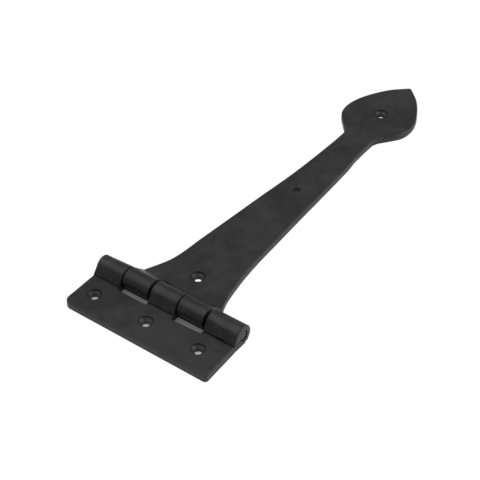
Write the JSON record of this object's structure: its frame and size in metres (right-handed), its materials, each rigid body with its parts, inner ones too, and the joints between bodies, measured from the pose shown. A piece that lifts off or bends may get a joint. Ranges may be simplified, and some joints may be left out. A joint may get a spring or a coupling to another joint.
{
  "type": "t hinge",
  "caption": "Forged-look black T hinge: a rectangular frame plate and a long tapered strap with an arrow-head end, joined by a plain pin through rolled knuckles.",
  "frame": {"origin": "on the mounting plane (the back faces of both leaves), straight below the pin's axis, about half-way along the knuckles", "axes": "+X along the pin, +Y along the strap towards its point with the hinge open flat, +Z out of the mounting plane on the knuckle side"},
  "size_m": [0.0905, 0.2603, 0.0118],
  "materials": {
    "black_leaf": "satin black powder coat over forged steel, fine orange-peel texture",
    "pin_steel": "satin black powder coat over a steel rod"
  },
  "bodies": {
    "frame": {"frame_plate": "black_leaf", "hinge_pin": "pin_steel"},
    "strap": {"strap": "black_leaf"}
  },
  "joints": [
    {"name": "strap_swing", "type": "hinge", "parent": "frame", "child": "strap", "pos_m": [0, 0, 0.0059], "axis": [1, 0, 0], "range_deg": [-112, 185]}
  ]
}
